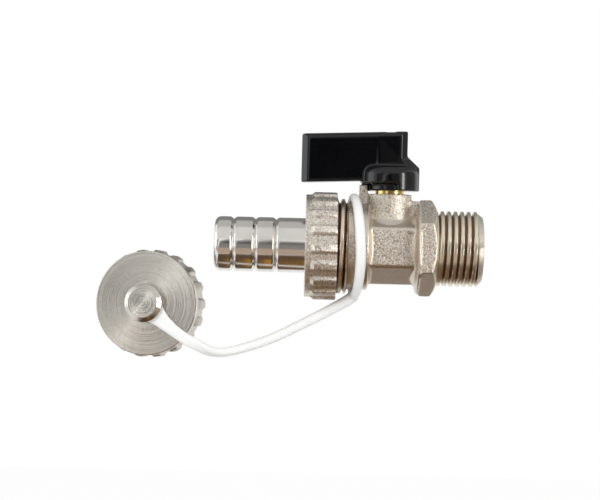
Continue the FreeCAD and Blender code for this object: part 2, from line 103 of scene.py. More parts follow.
class Graph:
    """The node tree of a material or of the world."""

    MIX_ENDS = (6, 7)
    MIX_COLOUR = 2

    def __init__(self, tree: bpy.types.NodeTree) -> None:
        """Start the tree empty."""
        self.tree = tree
        tree.nodes.clear()

    def node(
        self, kind: str, settings: Optional[Mapping[str, Any]] = None,
        sockets: Optional[Mapping[Union[int, str], Any]] = None, output: Union[int, str] = 0,
    ) -> Value:
        """Add a node.

        Args:
            kind: the node's type.
            settings: attributes that are set first.
            sockets: values, or Values to link, by the name or number of the input.
            output: the output that is given back.

        Returns:
            The chosen output as a Value, or the first input of a node without outputs.
        """
        made = self.tree.nodes.new(kind)
        for key, value in (settings or {}).items():
            setattr(made, key, value)
        for key, value in (sockets or {}).items():
            if isinstance(value, Value):
                self.tree.links.new(value.socket, made.inputs[key])
            else:
                made.inputs[key].default_value = value
        return Value(self, made.outputs[output] if made.outputs else made.inputs[0])

    def mix(self, share: Operand, *ends: Any) -> Value:
        """A colour between two others."""
        pair = zip(self.MIX_ENDS, [(*c, 1.0) if isinstance(c, tuple) else c for c in ends])
        sockets = {0: share, **dict(pair)}
        return self.node("ShaderNodeMix", {"data_type": "RGBA"}, sockets, self.MIX_COLOUR)

    def place(self) -> Value:
        """The point of the surface in the object's own frame."""
        return self.node("ShaderNodeTexCoord", output="Object")

    def parts(self, vector: Value) -> list[Value]:
        """The three parts of a vector."""
        split = self.node("ShaderNodeSeparateXYZ", None, {0: vector})
        return [Value(self, output) for output in split.socket.node.outputs]

    def vector(self, operation: str, *items: Any, output: str = "Vector") -> Value:
        """Vector arithmetic on vectors."""
        sockets = dict(enumerate(items))
        return self.node("ShaderNodeVectorMath", {"operation": operation}, sockets, output)

    def noise(
        self, grain_mm: float, detail: float = 3.0, stretch: Triple = (1.0, 1.0, 1.0)
    ) -> Value:
        """Noise with lumps of a size in millimetres, scaled along the frame's axes."""
        sockets = {"Vector": self.vector("MULTIPLY", self.place(), stretch), "Detail": detail}
        return self.node("ShaderNodeTexNoise", None, {**sockets, "Scale": 1 / (grain_mm * MM)})

    def rings(self, radius: Value, grain_mm: float, detail: float = 3.0) -> Value:
        """Noise along a radius, with lumps of a size in millimetres."""
        sockets = {"W": radius, "Scale": 1 / (grain_mm * MM), "Detail": detail}
        return self.node("ShaderNodeTexNoise", {"noise_dimensions": "1D"}, sockets)

    def bump(self, height: Value, depth_mm: float) -> Value:
        """A normal bent by a height."""
        sockets = {"Strength": 1.0, "Distance": depth_mm * MM, "Height": height}
        return self.node("ShaderNodeBump", None, sockets)


def new_material(name: str) -> tuple[bpy.types.Material, Graph]:
    """A new material and its empty node tree."""
    made = bpy.data.materials.new(name)
    made.use_nodes = True
    return made, Graph(made.node_tree)


def new_object(name: str, data: bpy.types.ID) -> bpy.types.Object:
    """A new object in the scene."""
    made = bpy.data.objects.new(name, data)
    bpy.context.scene.collection.objects.link(made)
    return made


@dataclass(frozen=True)
class Finish:
    """A surface finish that becomes one material."""

    name: str
    colour: Colour
    roughness: float
    metal: bool = True
    specular: float = 0.5

    def material(self) -> bpy.types.Material:
        """Make the material at the first call.

        Returns:
            The material.
        """
        found = bpy.data.materials.get(self.name)
        if found is not None:
            return found
        made, graph = new_material(self.name)
        constant = {"Metallic": float(self.metal), "Specular IOR Level": self.specular}
        sockets = {**constant, **self.sockets(graph)}
        shader = graph.node("ShaderNodeBsdfPrincipled", None, sockets)
        graph.node("ShaderNodeOutputMaterial", None, {"Surface": shader})
        return made

    def darker(self, share: float) -> Colour:
        """A share of the main colour."""
        return tuple(share * part for part in self.colour)

    def sockets(self, graph: Graph) -> dict[str, Any]:
        """The shader's inputs by name; each finish has its own."""
        raise NotImplementedError


@dataclass(frozen=True)
class SandedPlate(Finish):
    """Nickel plate over a forging: sandy where the die was rough, smoother on the slopes."""

    NECK_MM = (7.6, 9.2)
    FRONT = (0.90, 0.985)
    LEAST_SAND = 0.22
    PITS = (0.32, 0.50)
    PIT_SHARE = 0.74
    GRAINS = (0.50, 0.66, 0.95)
    CLOUDS = (0.3, 0.7, 0.25)
    SAND_ROUGHNESS = 0.08
    CLOUD_ROUGHNESS = 0.06

    # painted shade: the colour that darkens the sand's pits
    painted_pit_shade: Colour = (0.29, 0.225, 0.16)
    # painted highlight: the colour of the glints painted on the grain's tops
    painted_glint: Colour = (0.98, 0.95, 0.90)
    grain_mm: float = 0.42
    depth_mm: float = 0.19
    sandy_slopes: float = 0.0

    def sockets(self, graph: Graph) -> dict[str, Any]:
        """Grain with painted glints on its tops, pits darkened by painted shade, and a little tarnish.

        Args:
            graph: the material's node tree.

        Returns:
            The shader's inputs by name.
        """
        normal = graph.node("ShaderNodeNewGeometry", output="Normal")
        to_object = {"vector_type": "NORMAL", "convert_to": "OBJECT"}
        facing = graph.node("ShaderNodeVectorTransform", to_object, {0: normal})
        ahead = graph.parts(graph.vector("ABSOLUTE", facing))[1]
        neck = graph.parts(graph.place())[2].smooth_mm(*self.NECK_MM)
        sand = ahead.smooth(*self.FRONT).largest(neck).largest(self.sandy_slopes)
        share = self.LEAST_SAND + sand * (1 - self.LEAST_SAND)
        grain = graph.noise(self.grain_mm)
        cloud = graph.noise(grain_mm=4.0, detail=2.0)
        # painted shade: the pits take the dark colour
        pit_shade_share = (1 - grain.smooth(*self.PITS)) * share * self.PIT_SHARE
        base = graph.mix(cloud.smooth(*self.CLOUDS), self.colour, self.darker(share=0.86))
        # painted highlight: the grain's tops are lightened into glints
        lit = graph.mix(grain.smooth(*self.GRAINS) * share, base, self.painted_glint)
        sandy = self.roughness + share * self.SAND_ROUGHNESS
        return {
            "Base Color": graph.mix(pit_shade_share, lit, self.painted_pit_shade),
            "Roughness": sandy + cloud * self.CLOUD_ROUGHNESS,
            "Normal": graph.bump(grain * share, self.depth_mm),
        }


@dataclass(frozen=True)
class ThreadPlate(Finish):
    """Plated thread: painted shade darkens its valleys, its crests keep the plate's colour, and it has
    a plain end; lengths in millimetres.
    """

    PLAIN_STEP = 0.3
    FLANK = (0.05, 0.55)
    BORE_GAPS = (0.5, 0.2)
    LINE_ROUGHNESS = 0.12
    PLAIN_ROUGHNESS = 0.22

    valley_r: float = 9.3
    crest_r: float = 10.47
    # painted shade: the colour of the thread's valleys
    valley: Colour = (0.40, 0.27, 0.17)
    plain_from: float = 11.2
    end: Colour = (0.66, 0.62, 0.55)

    def sockets(self, graph: Graph) -> dict[str, Any]:
        """Painted shade by the distance from the waterway's axis, darkest in the thread's valleys, and
        fine turning lines.

        Args:
            graph: the material's node tree.

        Returns:
            The shader's inputs by name.
        """
        place = graph.place()
        across = graph.vector("MULTIPLY", place, (0.0, 1.0, 1.0))
        radius = graph.vector("LENGTH", across, output="Value")
        ends = (self.plain_from, self.plain_from + self.PLAIN_STEP)
        plain = graph.parts(place)[0].smooth_mm(*ends)
        height = self.crest_r - self.valley_r
        crest = radius.smooth_mm(*(self.valley_r + share * height for share in self.FLANK))
        bore = 1 - radius.smooth_mm(*(self.valley_r - gap for gap in self.BORE_GAPS))
        lines = graph.noise(grain_mm=0.5, stretch=(6.0, 0.4, 0.4))
        # painted shade: the valleys take the dark colour, the crests and the bore keep the plate's
        # colour
        cut = graph.mix(crest.largest(bore), self.valley, self.colour)
        lined = self.roughness + lines * self.LINE_ROUGHNESS
        return {
            "Base Color": graph.mix(plain * (1 - bore), cut, self.end),
            "Roughness": lined + plain * self.PLAIN_ROUGHNESS,
            "Normal": graph.bump(lines, depth_mm=0.012),
        }


@dataclass(frozen=True)
class PolishedPlate(Finish):
    """Bright polished metal with faint marks round the tube."""

    SMEARS = (0.4, 0.75, 0.5)
    DULL = (0.35, 0.8, 0.08)

    def sockets(self, graph: Graph) -> dict[str, Any]:
        """Faint turning lines and smears.

        Args:
            graph: the material's node tree.

        Returns:
            The shader's inputs by name.
        """
        lines = graph.noise(grain_mm=0.7, stretch=(5.0, 0.25, 0.25))
        smear = graph.noise(grain_mm=5.0)
        dark = self.darker(share=0.9)
        return {
            "Base Color": graph.mix(smear.smooth(*self.SMEARS), self.colour, dark),
            "Roughness": self.roughness + smear.smooth(*self.DULL),
            "Normal": graph.bump(lines, depth_mm=0.004),
        }


@dataclass(frozen=True)
class TurnedPlate(Finish):
    """Plated turning: fine rings about an axis in metres, and a sandy side wall."""

    BANDS = (0.35, 0.7, 0.12)
    FACE_MM = (-1.2, -0.6)
    BUTTON_MM = (1.6, 2.2)
    SPECKS = (0.42, 0.66, 0.30)
    RING_RELIEF = 0.8
    FACE_RELIEF = 0.40
    WALL_RELIEF = 0.5
    RING_ROUGHNESS = 0.08
    BUTTON_GLOSS = 0.04
    WALL_ROUGHNESS = 0.30

    centre: Triple = (0.0, 0.0, 0.0)
    axis: Triple = (0.0, 0.0, 1.0)
    ring_mm: float = 0.11

    def sockets(self, graph: Graph) -> dict[str, Any]:
        """Rings of uneven depth by the distance from the axis.

        Args:
            graph: the material's node tree.

        Returns:
            The shader's inputs by name.
        """
        away = graph.vector("SUBTRACT", graph.place(), self.centre)
        height = graph.vector("DOT_PRODUCT", away, self.axis, output="Value")
        scaled = {0: self.axis, "Scale": height}
        along = graph.node("ShaderNodeVectorMath", {"operation": "SCALE"}, scaled)
        radius = graph.vector("LENGTH", graph.vector("SUBTRACT", away, along), output="Value")
        fine = graph.rings(radius, self.ring_mm)
        bands = graph.rings(radius, grain_mm=1.1, detail=2.0).smooth(*self.BANDS)
        face = height.smooth_mm(*self.FACE_MM)
        wall = 1 - face
        button = height.smooth_mm(*self.BUTTON_MM)
        grain = graph.noise(grain_mm=0.4)
        on_face = face * (fine * self.RING_RELIEF + grain * self.FACE_RELIEF)
        shade = bands + grain.smooth(*self.SPECKS) * face
        ringed = self.roughness + fine * self.RING_ROUGHNESS - button * self.BUTTON_GLOSS
        relief = on_face + wall * grain * self.WALL_RELIEF
        return {
            "Base Color": graph.mix(shade, self.colour, self.darker(share=0.72)),
            "Roughness": ringed + wall * self.WALL_ROUGHNESS,
            "Normal": graph.bump(relief, depth_mm=0.034),
        }


@dataclass(frozen=True)
class Moulding(Finish):
    """Moulded plastic or rubber with a faint skin, clouded by a shade."""

    CLOUDS = (0.35, 0.75)
    GRAIN_ROUGHNESS = 0.08

    metal: bool = False
    specular: float = 0.4
    grain_mm: float = 0.8
    depth_mm: float = 0.004
    shade: Colour = (0.0, 0.0, 0.0)

    def sockets(self, graph: Graph) -> dict[str, Any]:
        """Skin grain, flow clouds and uneven gloss.

        Args:
            graph: the material's node tree.

        Returns:
            The shader's inputs by name.
        """
        grain = graph.noise(self.grain_mm)
        cloud = graph.noise(grain_mm=7.0, detail=2.0)
        return {
            "Base Color": graph.mix(cloud.smooth(*self.CLOUDS), self.colour, self.shade),
            "Roughness": self.roughness + grain * self.GRAIN_ROUGHNESS,
            "Normal": graph.bump(grain, self.depth_mm),
        }


class Nickel(Enum):
    """Finishes of the metal pieces."""

    FORGING = SandedPlate("sanded_nickel", (0.75, 0.68, 0.585), 0.34)
    NUT = SandedPlate("sanded_nut", (0.82, 0.76, 0.68), 0.34, sandy_slopes=0.8)
    INLET_THREAD = ThreadPlate("inlet_thread_nickel", (0.83, 0.78, 0.67), 0.24)
    OUTLET_THREAD = ThreadPlate(
        "outlet_thread_nickel", (0.80, 0.73, 0.63), 0.24,
        # painted shade: the outlet thread's valleys are darker still
        valley_r=12.06, crest_r=13.22, valley=(0.24, 0.12, 0.07),
    )
    TAIL = PolishedPlate("polished_nickel", (0.78, 0.755, 0.72), 0.15)
    BALL = PolishedPlate("plated_ball", (0.80, 0.80, 0.80), 0.05)
    ZINC = PolishedPlate("zinc_plate", (0.68, 0.69, 0.70), 0.25)
    BRASS = PolishedPlate("bare_brass", (0.80, 0.56, 0.22), 0.16)


class Soft(Enum):
    """Finishes of the plastic and rubber pieces."""

    LEVER = Moulding(
        "black_moulding", (0.0022, 0.0022, 0.003), 0.07, specular=0.5, shade=(0.0014, 0.0014, 0.002)
    )
    STRAP = Moulding(
        "white_moulding", (0.92, 0.92, 0.905), 0.42, depth_mm=0.001, shade=(0.9, 0.9, 0.89)
    )
    SEAL = Moulding("white_seal", (0.88, 0.88, 0.86), 0.35, shade=(0.82, 0.82, 0.8))
    RUBBER = Moulding(
        "black_rubber", (0.022, 0.022, 0.022), 0.6,
        grain_mm=0.5, depth_mm=0.03, shade=(0.035, 0.035, 0.034),
    )


def eased(share: np.ndarray) -> np.ndarray:
    """Shares from 0 to 1 with soft ends."""
    return share * share * (3 - 2 * share)


@dataclass(frozen=True)
class Corner:
    """A corner of a turned profile in millimetres, its rounding and its share of the ribs."""

    z: float
    r: float
    round: float = 0.0
    ribs: float = 0.0


@dataclass(frozen=True)
class Thread:
    """A helical thread in millimetres, cut where a profile is further out than over_r.

    The phase is the share of a turn that moves it. Land, flat and crown are shares as well: where
    the crown ends, where the valley's floor begins, and how much of the depth rounds the crown.
    """

    start: float
    depth: float
    over_r: float
    phase: float
    runout: float = 0.5
    pitch: float = 1.814
    land: float = 0.38
    flat: float = 0.96
    crown: float = 0.1

    def offset(self, z: float, turn: np.ndarray) -> np.ndarray:
        """How far the surface goes in at a place along the axis.

        Args:
            z: the place.
            turn: turns about the axis, from 0 to 1.

        Returns:
            The depth at each turn.
        """
        step = np.abs((z / self.pitch - turn + self.phase) % 1.0 - 0.5) * 2
        valley = eased(np.clip((step - self.land) / (self.flat - self.land), 0, 1))
        fade = min(max((z - self.start) / self.runout, 0.0), 1.0)
        return self.depth * fade * (self.crown * step * step + (1 - self.crown) * valley)


@dataclass(frozen=True)
class Ribs:
    """Grip ribs along a turned wall in millimetres, the first at an angle in degrees."""

    turned: float
    count: int = 18
    height: float = 0.79
    width: float = 2.5
    slope: float = 1.0
    wall_r: float = 14.2

    def shape(self, turn: np.ndarray) -> np.ndarray:
        """The ribs' outline.

        Args:
            turn: turns about the axis, from 0 to 1.

        Returns:
            The share of the ribs' height at each turn.
        """
        ribs_on = (turn - self.turned / 360) * self.count
        near = np.abs((ribs_on + 0.5) % 1.0 - 0.5) * (math.tau * self.wall_r / self.count)
        return eased(np.clip((self.width / 2 + self.slope / 2 - near) / self.slope, 0, 1))


@dataclass(frozen=True)
class Lathe:
    """Makes turned meshes with rounded corners, threads and ribs."""

    ARC_STEPS = 5
    THREAD_STEP = 0.09
    LONGEST_REACH = 0.48

    segments: int
    ribs: Optional[Ribs] = None
    thread: Optional[Thread] = None

    def _rounded(self, before: Corner, corner: Corner, after: Corner) -> list[Corner]:
        """Round a corner.

        Args:
            before: the corner before it.
            corner: the corner.
            after: the corner after it.

        Returns:
            The points that take its place.
        """
        here = Vector((corner.z, corner.r))
        to_before = Vector((before.z, before.r)) - here
        to_after = Vector((after.z, after.r)) - here
        shorter = min(to_before.length, to_after.length)
        if corner.round == 0 or shorter == 0:
            return [corner]
        angle = to_before.angle(to_after)
        reach = min(corner.round / math.tan(angle / 2), self.LONGEST_REACH * shorter)
        first = here + to_before.normalized() * reach
        last = here + to_after.normalized() * reach
        points = []
        for step in range(self.ARC_STEPS + 1):
            share = step / self.ARC_STEPS
            point = first * (1 - share) ** 2 + here * 2 * share * (1 - share) + last * share ** 2
            points.append(Corner(point.x, point.y, ribs=corner.ribs))
        return points

    def _points(self, corners: Sequence[Corner], closed: bool) -> list[Corner]:
        """Round the profile's corners, and take short steps along the thread.

        Args:
            corners: the profile.
            closed: whether it is a loop.

        Returns:
            The points of the finer profile.
        """
        rounded: list[Corner] = []
        for index, corner in enumerate(corners):
            ends = (corners[index - 1], corners[(index + 1) % len(corners)])
            inner = closed or 0 < index < len(corners) - 1
            rounded += self._rounded(ends[0], corner, ends[1]) if inner else [corner]
        points: list[Corner] = []
        for here, there in zip(rounded, rounded[1:] + rounded[:1]):
            points.append(here)
            if not closed and here is rounded[-1]:
                break
            cut = self.thread is not None and min(here.r, there.r) > self.thread.over_r
            count = int(abs(there.z - here.z) / self.THREAD_STEP) if cut else 0
            for step in range(1, count):
                share = step / count
                z = here.z + (there.z - here.z) * share
                points.append(Corner(z, here.r + (there.r - here.r) * share))
        return points

    def _ring(self, point: Corner, turn: np.ndarray) -> np.ndarray:
        """Turn one point of the profile.

        Args:
            point: the point.
            turn: turns about the axis, from 0 to 1.

        Returns:
            One ring of the mesh.
        """
        radius = np.full_like(turn, point.r)
        if self.ribs is not None and point.ribs > 0:
            standing = self.ribs.height * point.ribs * self.ribs.shape(turn)
            radius = np.maximum(radius, self.ribs.wall_r + standing)
        if self.thread is not None and point.r > self.thread.over_r and point.z > 0:
            crest = self.thread.over_r + self.thread.depth
            radius = np.minimum(radius, crest - self.thread.offset(point.z, turn))
        angle = turn * math.tau
        level = np.full_like(turn, point.z)
        return np.stack([radius * np.cos(angle), radius * np.sin(angle), level], axis=1)

    def turn(
        self, name: str, corners: Sequence[Corner], placement: Matrix, closed: bool = True
    ) -> bpy.types.Object:
        """Make the piece.

        Args:
            name: the piece's name.
            corners: the profile, from the outside in or round a closed loop.
            placement: moves the axis from Z at the origin, in metres.
            closed: whether the profile is a loop; otherwise it starts and ends on the axis.

        Returns:
            The new object.
        """
        turn = np.arange(self.segments) / self.segments
        rings = np.array([self._ring(point, turn) for point in self._points(corners, closed)])
        return Shaping.finished(name, Shaping.swept([(rings * MM, closed)]), placement)


class Shaping:
    """Ways to make a mesh into a piece."""

    SHARP = 38.0
    SOFT = 80.0
    JOIN_M = 1e-7
    THIN_M = 1e-8
    JOIN_MM = 1e-4

    @classmethod
    def finished(
        cls, name: str, mesh: bpy.types.Mesh, placement: Matrix, sharp: float = SHARP
    ) -> bpy.types.Object:
        """Clean a mesh, shade it and put it into the scene as an object.

        Args:
            name: the piece's name.
            mesh: its mesh.
            placement: moves the mesh, in metres.
            sharp: the angle in degrees from which an edge stays sharp.

        Returns:
            The new object.
        """
        edit = bmesh.new()
        edit.from_mesh(mesh)
        bmesh.ops.remove_doubles(edit, verts=edit.verts, dist=cls.JOIN_M)
        bmesh.ops.dissolve_degenerate(edit, edges=edit.edges, dist=cls.THIN_M)
        edit.transform(placement)
        bmesh.ops.recalc_face_normals(edit, faces=edit.faces)
        edit.to_mesh(mesh)
        edit.free()
        mesh.shade_smooth()
        mesh.set_sharp_from_angle(angle=math.radians(sharp))
        return new_object(name, mesh)

    @classmethod
    def solid(cls, node: str, reshape: Callable[[np.ndarray], np.ndarray]) -> bpy.types.Mesh:
        """A copy of a solid's mesh in millimetres.

        Args:
            node: the solid.
            reshape: changes the copy's points.

        Returns:
            The new mesh, its doubled points joined.
        """
        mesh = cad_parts[node].data.copy()
        points = reshape(np.array([vertex.co for vertex in mesh.vertices]) / MM)
        mesh.vertices.foreach_set("co", points.astype(np.float32).ravel())
        edit = bmesh.new()
        edit.from_mesh(mesh)
        bmesh.ops.remove_doubles(edit, verts=edit.verts, dist=cls.JOIN_MM)
        edit.to_mesh(mesh)
        edit.free()
        return mesh

    @staticmethod
    def swept(runs: Sequence[tuple[np.ndarray, bool]]) -> bpy.types.Mesh:
        """A mesh through rows of sections.

        Args:
            runs: for each run its sections, as an array of section, point and coordinate, and
                whether it comes back to its start; a run that doesn't is capped at both ends.

        Returns:
            The new mesh with all the runs in it.
        """
        points: list[list[float]] = []
        faces: list[list[int]] = []
        for sections, closed in runs:
            count, around = sections.shape[:2]
            first = len(points)
            points += sections.reshape(-1, 3).tolist()
            for row in range(count if closed else count - 1):
                here, there = first + row * around, first + (row + 1) % count * around
                for column in range(around):
                    after = (column + 1) % around
                    faces.append([here + column, here + after, there + after, there + column])
            if not closed:
                last = first + (count - 1) * around
                faces.append([first + column for column in reversed(range(around))])
                faces.append([last + column for column in range(around)])
        mesh = bpy.data.meshes.new("swept")
        mesh.from_pydata(points, [], faces)
        return mesh

    @classmethod
    def softened(
        cls, name: str, mesh: bpy.types.Mesh, grain_mm: float, rounds: int
    ) -> bpy.types.Object:
        """A forged or moulded form of a mesh: its edges and corners run into each other.

        Args:
            name: the piece's name.
            mesh: the mesh that it is made from, in millimetres.
            grain_mm: the size of the new mesh's faces.
            rounds: how often the mesh is smoothed.

        Returns:
            The new object.
        """
        rough = new_object(name + "_rough", mesh)
        remesh = rough.modifiers.new("remesh", "REMESH")
        remesh.mode = "VOXEL"
        remesh.voxel_size = grain_mm
        smooth = rough.modifiers.new("smooth", "SMOOTH")
        smooth.factor = 0.5
        smooth.iterations = rounds
        bpy.context.view_layer.update()
        evaluated = rough.evaluated_get(bpy.context.evaluated_depsgraph_get())
        whole = bpy.data.meshes.new_from_object(evaluated)
        bpy.data.objects.remove(rough)
        whole.materials.clear()
        return cls.finished(name, whole, Matrix.Scale(MM, 4), cls.SOFT)


def fit_out(piece: bpy.types.Object, finish: Finish, body: str, slot: str, *nodes: str) -> None:
    """Give a new piece its finish, its body and the nodes that it stands for.

    Args:
        piece: the piece.
        finish: its finish.
        body: the body that it rides on.
        slot: the record's material slot; not used.
        nodes: the nodes that it replaces.
    """
    piece.data.materials.clear()
    piece.data.materials.append(finish.material())
    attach(piece, body)
    if nodes:
        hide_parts(*nodes)
    LOG.info("piece %s on %s: %d faces", piece.name, body, len(piece.data.polygons))


def dress(finish: Finish, *nodes: str) -> None:
    """Give solids that keep their shape a finish.

    Args:
        finish: the finish.
        nodes: the solids.
    """
    for node in nodes:
        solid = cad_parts[node]
        solid.data.materials.clear()
        solid.data.materials.append(finish.material())
        LOG.info("node %s: %s", node, finish.name)


def along_x(x_mm: float, inlet_side: bool) -> Matrix:
    """Put a turned piece on the waterway, its X upwards.

    Args:
        x_mm: where its origin goes.
        inlet_side: whether its Z looks towards the inlet or the outlet.

    Returns:
        The placement.
    """
    way = 1.0 if inlet_side else -1.0
    columns = (Vector((0, 0, 1)), Vector((0, way, 0)), Vector((way, 0, 0)))
    turned = Matrix(columns).transposed().to_4x4()
    return Matrix.Translation((x_mm * MM, 0, 0)) @ turned


@dataclass(frozen=True)
class ThreadedEnd:
    """A threaded end of the valve; lengths in millimetres from the thread's shoulder.

    Attributes:
        x: where the shoulder is on the waterway.
        core_r: the radius that the solid's ringed thread is taken down to.
        rounds: the roundings of the chamfer's two corners and of the bore's edge.
        start: where the thread starts to run in.
        foot: the corners of the profile before the chamfer.
        sleeve: where the profile ends inside the forging, and its radius there.
    """

    DEPTH = 1.16
    CREST_GAP = 0.05

    name: str
    finish: Nickel
    segments: int
    x: float
    inlet_side: bool
    length: float
    r: float
    core_r: float
    bore_r: float
    chamfer: float
    rounds: Triple
    start: float
    phase: float
    foot: tuple[Corner, ...]
    sleeve: Span

    def build(self) -> None:
        """Make the thread."""
        over_r = self.r - (self.DEPTH + self.CREST_GAP)
        thread = Thread(self.start, self.DEPTH, over_r, self.phase)
        end, (sleeve, sleeve_r), (outer, edge, inner) = self.length, self.sleeve, self.rounds
        corners = (
            *self.foot, Corner(end - self.chamfer, self.r, outer),
            Corner(end, self.r - self.chamfer, edge), Corner(end, self.bore_r, inner),
            Corner(sleeve, self.bore_r), Corner(sleeve, sleeve_r),
        )
        placement = along_x(self.x, self.inlet_side)
        piece = Lathe(self.segments, thread=thread).turn(self.name, corners, placement)
        fit_out(piece, self.finish.value, "valve", "plated_forging")


@dataclass
class Valve:
    """The forging with its two threads, and the pieces inside it; lengths in millimetres."""

    NEAR = 1e-3
    NEAR_R = 1e-2

    grain: float = 0.26
    rounds: int = 3
    set_back: float = 0.2
    inlet: ThreadedEnd = ThreadedEnd(
        "inlet_thread", Nickel.INLET_THREAD, segments=180, x=0.0, inlet_side=True, length=12.8,
        r=10.4775, core_r=8.9, bore_r=6.57, chamfer=1.5, rounds=(0.2, 0.15, 0.2), start=0.2,
        phase=0.53, foot=(Corner(-0.3, 8.4), Corner(-0.3, 10.4775)), sleeve=(9.0, 8.4),
    )
    outlet: ThreadedEnd = ThreadedEnd(
        "outlet_thread", Nickel.OUTLET_THREAD, segments=216, x=-24.5, inlet_side=False, length=6.9,
        r=13.22, core_r=11.75, bore_r=8.57, chamfer=0.8, rounds=(0.1, 0.1, 0.15), start=-0.5,
        phase=0.83, sleeve=(3.9, 11.0),
        foot=(Corner(-0.2, 11.0), Corner(-0.2, 11.7), Corner(0.15, 12.62), Corner(0.5, 13.22, 0.1)),
    )

    def cut_back(self, points: np.ndarray) -> np.ndarray:
        """Take the ringed threads of the solid down to their cores.

        Args:
            points: the solid's points.

        Returns:
            The moved points.
        """
        x = points[:, 0]
        radius = np.hypot(points[:, 1], points[:, 2])
        limit = np.full_like(radius, np.inf)
        limit[(x > -self.NEAR) & (radius < self.inlet.r + self.NEAR_R)] = self.inlet.core_r
        on_outlet = (x < self.outlet.x - self.NEAR) & (radius > self.outlet.core_r)
        limit[on_outlet] = self.outlet.core_r
        moved = points.copy()
        moved[:, 1:] *= np.minimum(1.0, limit / np.maximum(radius, self.NEAR))[:, None]
        face = self.outlet.x - self.outlet.length
        moved[:, 0] = np.clip(x, face + self.set_back, self.inlet.length - self.set_back)
        return moved

    def build(self) -> None:
        """Make the forging and its threads."""
        solid = Shaping.solid("valve_body", self.cut_back)
        forging = Shaping.softened("valve_forging", solid, self.grain, self.rounds)
        fit_out(forging, Nickel.FORGING.value, "valve", "plated_forging", "valve_body")
        self.inlet.build()
        self.outlet.build()

    def dress(self) -> None:
        """Finish the pieces inside the valve."""
        dress(Nickel.BRASS.value, "seat_retainer")
        dress(Soft.SEAL.value, "inlet_seat", "outlet_seat", "stem_thrust_washer")


@dataclass
class Lever:
    """The lever, its screw, the stem and the ball; lengths in millimetres."""

    grain: float = 0.22
    rounds: int = 18
    half_thickness: float = 3.5
    thick_zone: float = 0.16
    thick_share: float = 0.2
    hub_top: float = 22.5
    stem_x: float = -13.0
    top: float = 32.0
    droop: float = 2.4
    well_r: float = 2.95
    well_near: float = 0.03
    rim_r: float = 2.3
    rim_lift: float = 0.06
    rim_depth: float = 0.7

    def evened(self, points: np.ndarray) -> np.ndarray:
        """Leave a faint crease where the paddle gets thicker, and a whole rim round the well.

        Args:
            points: the solid's points.

        Returns:
            The moved points.
        """
        x, y, z = points.T
        beyond = np.abs(y) - self.half_thickness
        crease = (beyond > 0) & (beyond < self.thick_zone) & (z > self.hub_top)
        moved = points.copy()
        kept = self.half_thickness + self.thick_share * beyond[crease]
        moved[crease, 1] = np.sign(y[crease]) * kept
        level = self.top + (x - self.stem_x) * math.tan(math.radians(self.droop))
        near = np.abs(np.hypot(x - self.stem_x, y) - self.well_r) < self.well_near
        rim = near & (z > level - self.rim_depth)
        moved[rim, 0] = self.stem_x + (x[rim] - self.stem_x) * self.rim_r / self.well_r
        moved[rim, 1] = y[rim] * self.rim_r / self.well_r
        moved[rim, 2] = level[rim] + self.rim_lift
        return moved

    def build(self) -> None:
        """Make the moulded lever."""
        solid = Shaping.solid("lever", self.evened)
        lever = Shaping.softened("lever_moulding", solid, self.grain, self.rounds)
        fit_out(lever, Soft.LEVER.value, "lever", "black_lever", "lever")

    def dress(self) -> None:
        """Finish the stem, the ball and the screw."""
        dress(Nickel.BRASS.value, "stem")
        dress(Nickel.BALL.value, "ball")
        dress(Nickel.ZINC.value, "lever_screw", "lever_washer")
        dress(Soft.RUBBER.value, "stem_o_ring_lower", "stem_o_ring_upper")


@dataclass
class HoseUnion:
    """The ribbed nut and the grooved hose tail; lengths in millimetres."""

    nut_left: float = -36.1
    nut_length: float = 8.7
    nut_r: float = 14.2
    nut_bore_r: float = 13.3
    hole_r: float = 7.95
    lip: float = 1.6
    band: float = 2.0
    rib_bevel: float = 0.5
    rib_turn: float = -12.5
    mouth: float = 0.3
    mouth_r: float = 14.1
    mouth_ribs: float = 0.72
    tail_end: float = -61.2
    tail_length: float = 28.2
    tail_r: float = 7.6
    bore_r: float = 5.6
    tip_round: float = 1.8
    tip_steps: int = 8
    groove_r: float = 7.0
    groove: float = 0.75
    groove_round: float = 0.9
    grooves: Triple = (5.3, 11.3, 17.0)
    flange_r: float = 12.0
    flange: float = 1.5

    def build(self) -> None:
        """Make the nut and the tail."""
        end = self.nut_length
        corners = (
            Corner(0, self.hole_r, round=0.2), Corner(0, self.nut_r, round=0.35),
            Corner(self.band - self.rib_bevel, self.nut_r, round=0.2),
            Corner(self.band + self.rib_bevel, self.nut_r, round=0.25, ribs=1.0),
            Corner(end - self.mouth, self.nut_r, ribs=1.0),
            Corner(end, self.mouth_r, ribs=self.mouth_ribs),
            Corner(end, self.nut_bore_r, round=0.15), Corner(self.lip, self.nut_bore_r),
            Corner(self.lip, self.hole_r, round=0.1),
        )
        lathe = Lathe(segments=432, ribs=Ribs(self.rib_turn))
        nut = lathe.turn("union_nut_ribbed", corners, along_x(self.nut_left, True))
        fit_out(nut, Nickel.NUT.value, "union_nut", "plated_forging", "union_nut")
        profile = [Corner(0, self.bore_r)]
        for step in range(self.tip_steps + 1):
            angle = step / self.tip_steps * math.pi / 2
            rise = self.tip_round * (1 - math.sin(angle))
            profile.append(Corner(self.tip_round * (1 - math.cos(angle)), self.tail_r - rise))
        for place in self.grooves:
            profile += [
                Corner(place - self.groove, self.tail_r, self.groove_round),
                Corner(place, self.groove_r, round=0.1),
                Corner(place + self.groove, self.tail_r, self.groove_round),
            ]
        shoulder = self.tail_length - self.flange
        profile += [
            Corner(shoulder, self.tail_r, round=0.2),
            Corner(shoulder, self.flange_r, round=0.2),
            Corner(self.tail_length, self.flange_r, round=0.2),
            Corner(self.tail_length, self.bore_r, round=0.2),
        ]
        tail = Lathe(segments=192).turn("hose_tail_turned", profile, along_x(self.tail_end, True))
        fit_out(tail, Nickel.TAIL.value, "hose_tail", "polished_tail", "hose_tail")

    def dress(self) -> None:
        """Finish the gasket."""
        dress(Soft.RUBBER.value, "union_gasket")


